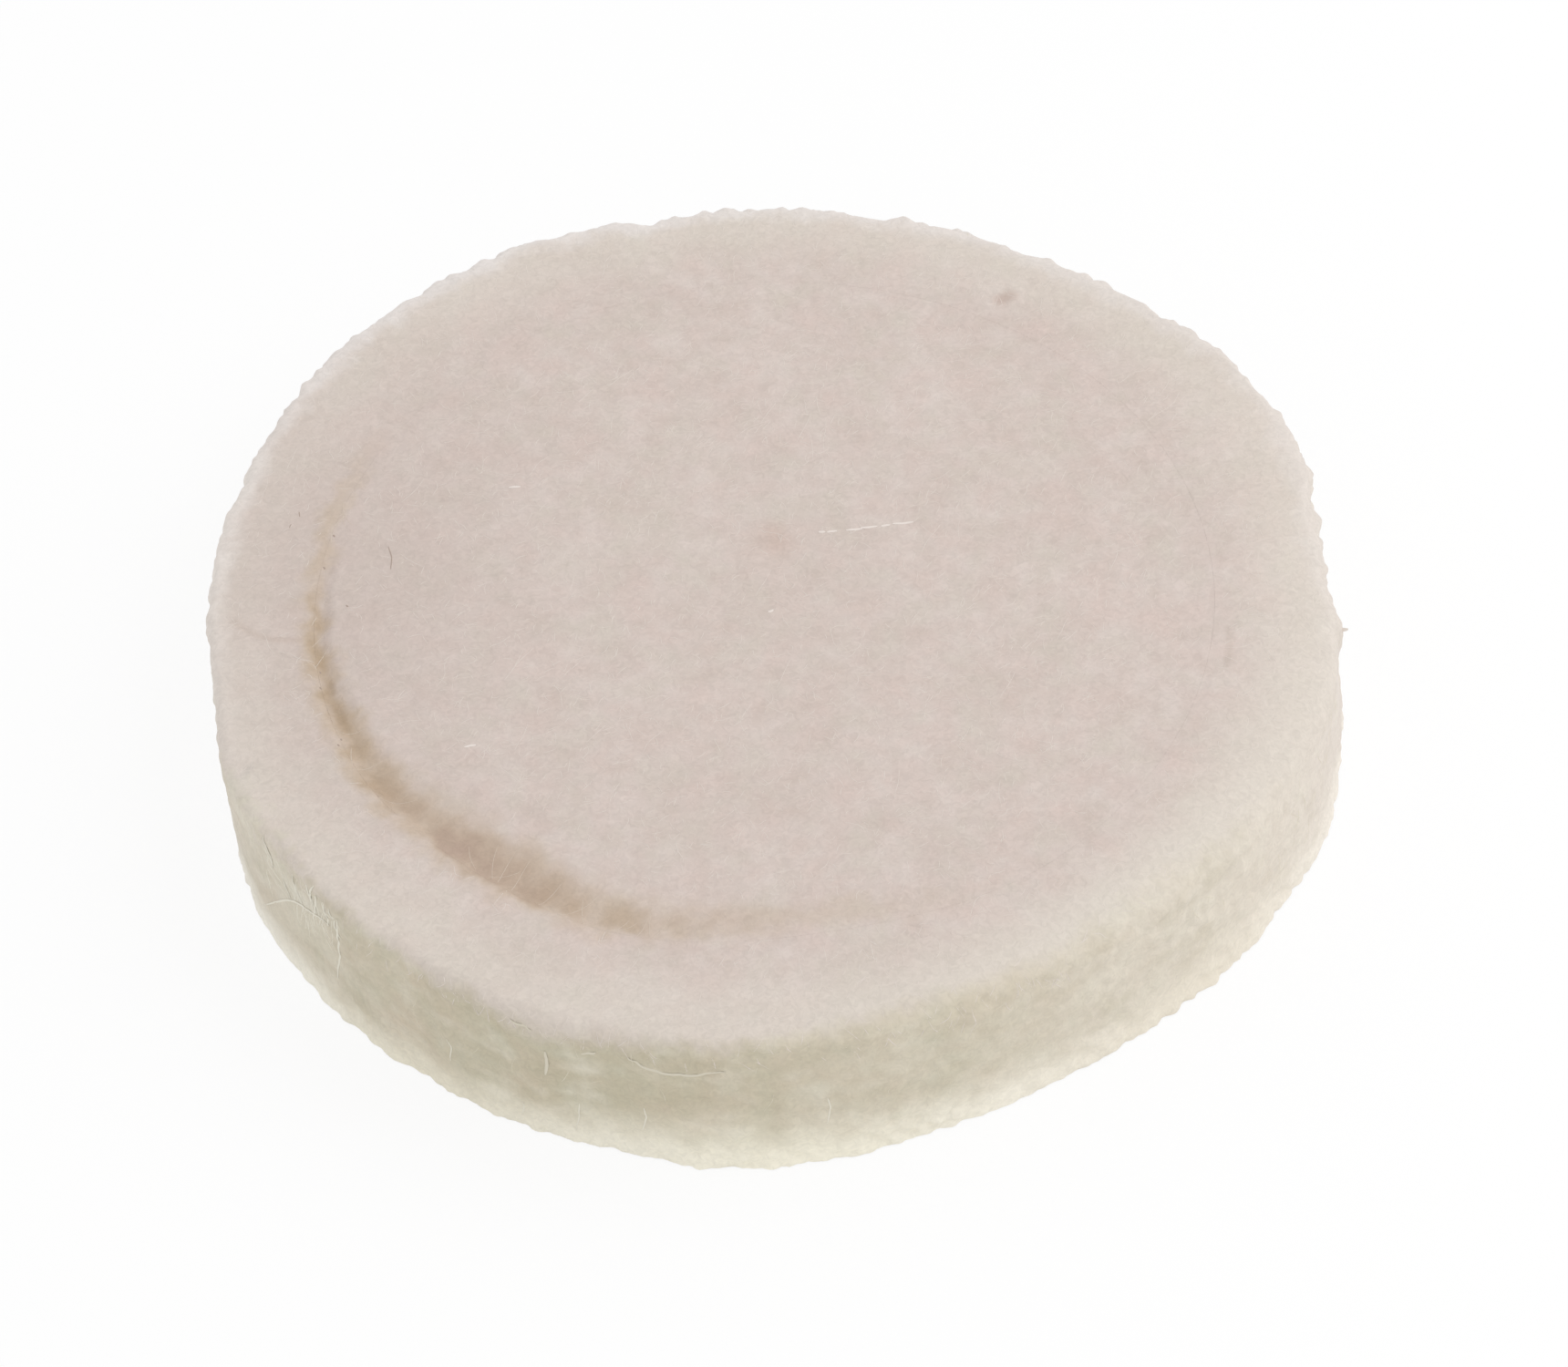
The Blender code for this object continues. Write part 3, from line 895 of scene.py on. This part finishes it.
def strands(paths, facing, half_width, rise):
    """Points and faces of closed three-sided strands along each path, thinner towards their ends."""
    count, steps = paths.shape[:2]
    along = np.gradient(paths, axis=1)
    aside = np.cross(along, facing)
    aside /= np.linalg.norm(aside, axis=-1, keepdims=True)
    top = np.cross(aside, along)
    top /= np.linalg.norm(top, axis=-1, keepdims=True)
    from_middle = np.abs(np.linspace(-1.0, 1.0, steps))
    taper = (1.0 - TAPER_SHARE * from_middle**TAPER_POWER)[None, :, None]
    spread, ridge = aside * half_width * taper, top * rise * taper
    corners = (paths - spread - ridge, paths + spread - ridge, paths + ridge)
    points = np.stack(corners, axis=2).reshape(-1, 3)
    ends = [(0, 1, 2), tuple(3 * (steps - 1) + corner for corner in (2, 1, 0))]
    strand = ring_faces(steps, 3, False).tolist() + ends
    faces = []
    for index in range(count):
        faces += renumbered(strand, 3 * steps * index)
    return points, faces


def fibre_piece(name, bundles, material):
    """One piece made of bundles of fibres, each bundle its paths, their facing, half width and rise."""
    points, faces, total = [], [], 0
    for (paths, facing), half_width, rise in bundles:
        more, sides = strands(paths, facing, half_width, rise)
        points.append(more)
        faces += renumbered(sides, total)
        total += len(more)
    points = np.concatenate(points)
    points[:, 2] = np.maximum(points[:, 2], 0.0)
    return new_piece(name, points, faces, material)


def rim_fibres(along, count, bearings, heading, length, bend=WINDING):
    """Chance fibres lying on the rim's skin, between two bearings and two distances along its section."""
    starts = np.radians(CHANCE.uniform(*bearings, count)) * WHEEL_RADIUS
    starts = np.stack([starts, CHANCE.uniform(*along, count)], axis=-1)
    paths = wander(starts, CHANCE.uniform(*heading, count), CHANCE.uniform(*length, count), bend)
    return on_rim(np.degrees(paths[..., 0] / WHEEL_RADIUS), np.clip(paths[..., 1], CUT_CLEAR, SKIN_END))


def core_fibres(count, length):
    """Chance fibres lying on the core's face, clear of the crease."""
    radius = (CORE_RADIUS - length[1]) * np.sqrt(CHANCE.uniform(0, 1, count))
    bearing = CHANCE.uniform(*ALL_ROUND, count)
    share, width, _ = crease_at(bearing)
    clear = radius < meet(bearing) - np.where(share > CREASE_SHUT, width + length[1], length[1])
    starts = around(bearing, radius, 0.0)[clear, :2]
    count = len(starts)
    paths = wander(starts, CHANCE.uniform(*ALL_ROUND, count), CHANCE.uniform(*length, count), WINDING)
    return on_core(paths[..., 0], paths[..., 1])


def wall_fibre(places):
    """One fibre that is seen on the wall."""
    bearing, height = through(places, WALL_STRAND_STEPS).T
    points, facing = on_rim(bearing, WALL_START + THICKNESS - SHOULDER_RADIUS - height * MM)
    return points[None] + WALL_LIFT * facing, facing[None]


def wisp():
    """A wisp that stands out of the wall's top, rooted as deep as it reaches."""
    share = np.linspace(-1.0, 1.0, CROSSING_STEPS)
    root, facing = on_rim(np.full(CROSSING_STEPS, TUFT_BEARING), np.full(CROSSING_STEPS, WALL_START))
    path = (root + WISP_REACH * share[:, None] * facing)[None]
    return path, np.broadcast_to((0.0, 0.0, 1.0), path.shape)


def core_fibre(places):
    """One fibre or bit that is seen on the core's face."""
    x, y = through(places, FACE_STRAND_STEPS).T * MM
    points, facing = on_core(x, y)
    return points[None] + FACE_LIFT * facing, facing[None]


def rim_face_bit(places):
    """One bit that is seen on the rim's face."""
    x, y = through(places, FACE_STRAND_STEPS).T * MM
    points, facing = on_rim(np.degrees(np.arctan2(y, x)), np.hypot(x, y) - CUT_RADIUS)
    return points[None], facing[None]


def crease_fibre(bearing, slant, reach):
    """One fibre that crosses the crease from the rim's edge over the core, slanted and bent."""
    share = np.linspace(0.0, 1.0, CROSSING_STEPS)
    bearings = bearing + slant * (share - 0.5) + CROSSING_BOW * slant * np.sin(np.pi * share)
    radius = meet(bearings) - CROSSING_START - crease_at(bearings)[1] * reach * share
    points, facing = on_core(radius * np.cos(np.radians(bearings)), radius * np.sin(np.radians(bearings)))
    return points[None], facing[None]


def make_rim_face_fibres(material):
    """Short loose fibres all over the rim's face, upright ones along its near lip, and the wisp."""
    face = (RIM_FACE_START, FACE_LENGTH)
    lip = (FACE_LENGTH, WALL_START + LIP_DEPTH)
    fibre_piece("rim_face_fibres", [
        (rim_fibres(face, **RIM_SHORT), *FINE),
        (rim_fibres(face, **RIM_LONG), *FINE),
        (rim_fibres(lip, **LIP_UPRIGHT), *FINE),
        (wisp(), *WISP),
    ], material)


def make_wall_fibres(material):
    """Loose fibres on the wall above its foot, most of them hanging, and the ones seen high up."""
    wall = (WALL_START, SKIN_END - FOOT_CLEAR)
    fibres = [(rim_fibres(wall, **kind), *FINE) for kind in (WALL_HANGING, WALL_LYING)]
    fibres += [(wall_fibre(places), *BROAD) for places in HIGH_WALL_FIBRES]
    fibre_piece("rim_wall_fibres", fibres, material)


def make_net_fibres(material):
    """The net of bright fibres over the fold, in two sets that cross, and bright ones low on the wall."""
    net = (WALL_START, WALL_START + NET_DEPTH)
    fibres = [(rim_fibres(net, **kind), *MIDDLING) for kind in (NET_HANGING, NET_CROSSING)]
    fibres += [(wall_fibre(places), *SOFT) for places in NET_FIBRES]
    fibres += [(wall_fibre(places), *MIDDLING) for places in LOW_WALL_FIBRES]
    fibre_piece("rim_net_fibres", fibres, material)


def make_core_fibres(material, white):
    """Short loose fibres all over the core's face, and the white ones seen on it."""
    loose = [(core_fibres(**kind), *FINE) for kind in (CORE_SHORT, CORE_LONG)]
    fibre_piece("core_face_fibres", loose, material)
    seen = [(core_fibre(places), *SOFT) for places in CORE_FIBRES]
    fibre_piece("core_white_fibres", seen, white)


def make_crease_fibres(material):
    """Fibres across the crease: the ones that are seen, and some by chance."""
    chance = CHANCE.uniform(*CHANCE_CREASE_FIBRES, (CHANCE_CREASE_COUNT, 3))
    fibres = [(crease_fibre(*place), *FINE) for place in (*CREASE_FIBRES, *chance)]
    fibre_piece("crease_fibres", fibres, material)


def make_seed_bits(material):
    """A dark hair and bits of seed caught in the wool."""
    bits = [(core_fibre(HAIR), *FINE)] + [(core_fibre(places), *STOUT) for places in CORE_BITS]
    bits += [(rim_face_bit(places), *STOUT) for places in RIM_BITS]
    fibre_piece("seed_bits", bits, material)


def add(tree, kind, settings, inputs):
    """Adds a node with its settings, and gives each input a value or a link."""
    made = tree.nodes.new("ShaderNode" + kind)
    for name, value in settings.items():
        setattr(made, name, value)
    for name, value in inputs.items():
        if isinstance(value, bpy.types.NodeSocket):
            tree.links.new(value, made.inputs[name])
        else:
            made.inputs[name].default_value = value
    return made


def dull(name, sheen):
    """A new matt material with its node tree and shader: rough, hardly glossy, with a share of sheen."""
    material = bpy.data.materials.new(name)
    material.use_nodes = True
    surface = material.node_tree.nodes["Principled BSDF"]
    surface.inputs["Roughness"].default_value = FELT_ROUGHNESS
    surface.inputs["Specular IOR Level"].default_value = FELT_GLOSS
    surface.inputs["Sheen Weight"].default_value = sheen
    surface.inputs["Sheen Roughness"].default_value = SHEEN_ROUGHNESS
    return material, material.node_tree, surface


def wool_felt(name):
    """Pressed wool felt: dull, its colour and painted light and shade broken by a fine grain of fibres.

    Wool fibres are 0.02 to 0.04 mm thick, too fine to show in the render, so the grain is drawn coarser.
    """
    material, tree, surface = dull(name, FELT_SHEEN)
    where = add(tree, "TexCoord", {}, {}).outputs["Object"]
    wool_colour_and_painted_light = add(tree, "Attribute", {"attribute_name": "wool_colour_and_painted_light"}, {}).outputs["Color"]
    tangle = {"Vector": where, "Scale": 1.0 / (GRAIN_SIZE * MM)}
    tangle |= {"Detail": GRAIN_DETAIL, "Distortion": GRAIN_TANGLE}
    grain = add(tree, "TexNoise", {}, tangle).outputs["Fac"]
    shades = {"Value": grain, "To Min": GRAIN_SHADES[0], "To Max": GRAIN_SHADES[1]}
    speckle = add(tree, "MapRange", {}, shades).outputs[0]
    shade = add(tree, "CombineColor", {}, {channel: speckle for channel in range(3)}).outputs[0]
    multiply = {"data_type": "RGBA", "blend_type": "MULTIPLY"}
    colour = add(tree, "Mix", multiply, {0: 1.0, 6: wool_colour_and_painted_light, 7: shade}).outputs[2]
    relief = {"Height": grain, "Strength": GRAIN_STRENGTH, "Distance": GRAIN_DEPTH}
    bump = add(tree, "Bump", {}, relief).outputs[0]
    tree.links.new(colour, surface.inputs["Base Color"])
    tree.links.new(bump, surface.inputs["Normal"])
    return material


def fibre(name, hex_colour):
    """Single wool fibres or bits of seed, which catch the eye as fine lines on the felt."""
    material, _, surface = dull(name, FELT_SHEEN)
    surface.inputs["Base Color"].default_value = linear(hex_colour)
    return material


def seen_by_camera(tree):
    """1 for rays that the camera sends out, straight or by way of a mirror or glass, and 0 for others."""
    ray = add(tree, "LightPath", {}, {}).outputs
    mirrored = add(tree, "Math", {}, {0: ray["Is Glossy Ray"], 1: ray["Is Transmission Ray"]}).outputs[0]
    return add(tree, "Math", {"use_clamp": True}, {0: ray["Is Camera Ray"], 1: mirrored}).outputs[0]


def white_table():
    """Matt white board, whiter to the camera than in the light that it returns, with a faint shadow."""
    material, tree, surface = dull("white_table", 0.0)
    seen = seen_by_camera(tree)
    whites = {0: seen, 6: linear(TABLE_WHITE), 7: linear(WHITE)}
    white = add(tree, "Mix", {"data_type": "RGBA"}, whites).outputs[2]
    tree.links.new(white, surface.inputs["Base Color"])
    glow = add(tree, "Emission", {}, {"Color": linear(WHITE), "Strength": 1.0}).outputs[0]
    share = add(tree, "Math", {"operation": "MULTIPLY"}, {0: seen, 1: TABLE_GLOW}).outputs[0]
    lit = add(tree, "MixShader", {}, {0: share, 1: surface.outputs[0], 2: glow}).outputs[0]
    tree.links.new(lit, tree.nodes["Material Output"].inputs["Surface"])
    return material


def make_floor():
    """A plain white table, a hair's breadth below the wheel."""
    mesh = bpy.data.meshes.new("table")
    corners = [(x * TABLE_HALF, y * TABLE_HALF, 0.0) for x, y in ((-1, -1), (1, -1), (1, 1), (-1, 1))]
    mesh.from_pydata(corners, [], [(0, 1, 2, 3)])
    mesh.materials.append(white_table())
    table = bpy.data.objects.new("table", mesh)
    table.location.z = -TABLE_DROP
    bpy.context.scene.collection.objects.link(table)


def make_light():
    """A white tent, brighter at its sides than overhead, and one soft lamp above on the right."""
    world = bpy.data.worlds.new("tent")
    bpy.context.scene.world = world
    world.use_nodes = True
    tree = world.node_tree
    direction = add(tree, "TexCoord", {}, {}).outputs["Generated"]
    up = add(tree, "SeparateXYZ", {}, {"Vector": direction}).outputs["Z"]
    tent = add(tree, "MapRange", {}, {"Value": up, "To Min": TENT_SIDES, "To Max": TENT_TOP}).outputs[0]
    levels = {0: seen_by_camera(tree), 2: tent, 3: 1.0}
    level = add(tree, "Mix", {"data_type": "FLOAT"}, levels).outputs[0]
    back = tree.nodes["Background"]
    back.inputs["Color"].default_value = linear(WHITE)
    tree.links.new(level, back.inputs["Strength"])
    lamp = bpy.data.lights.new("soft_lamp", "AREA")
    lamp.size = LAMP_SIZE
    lamp.energy = LAMP_POWER
    holder = bpy.data.objects.new("soft_lamp", lamp)
    holder.location = LAMP_PLACE
    aim = -holder.location.normalized()
    holder.rotation_euler = aim.to_track_quat("-Z", "Y").to_euler()
    bpy.context.scene.collection.objects.link(holder)


def make_camera():
    """The photograph's view, with the picture turned a little about its middle."""
    camera = bpy.data.cameras.new("camera")
    camera.sensor_fit = "HORIZONTAL"
    camera.sensor_width = SENSOR_WIDTH
    camera.lens = LENS
    camera.clip_start = CLIP_START
    holder = bpy.data.objects.new("camera", camera)
    bpy.context.scene.collection.objects.link(holder)
    rise = math.radians(CAMERA_ELEVATION)
    place = Matrix.Translation((
        CAMERA_AIM[0],
        CAMERA_AIM[1] - CAMERA_DISTANCE * math.cos(rise),
        THICKNESS + CAMERA_DISTANCE * math.sin(rise),
    ))
    tilt = Matrix.Rotation(math.radians(90.0) - rise, 4, "X")
    roll = Matrix.Rotation(-math.radians(CAMERA_ROLL), 4, "Z")
    holder.matrix_world = place @ tilt @ roll
    bpy.context.scene.camera = holder


def main():
    """Sets the scene and dresses the wheel; chance is drawn in this order."""
    bpy.context.scene.view_settings.view_transform = "Standard"
    make_camera()
    make_floor()
    make_light()
    make_rim(wool_felt("rim_wool_felt"))
    make_core(wool_felt("core_wool_felt"))
    pale = fibre("pale_wool_fibre", PALE_FIBRE)
    make_rim_face_fibres(pale)
    make_wall_fibres(fibre("cut_wool_fibre", CUT_FIBRE))
    make_net_fibres(fibre("net_wool_fibre", NET_FIBRE))
    make_core_fibres(pale, fibre("white_wool_fibre", WHITE_FIBRE))
    make_crease_fibres(fibre("tan_wool_fibre", TAN_FIBRE))
    make_seed_bits(fibre("seed_bit", SEED_BIT))


main()
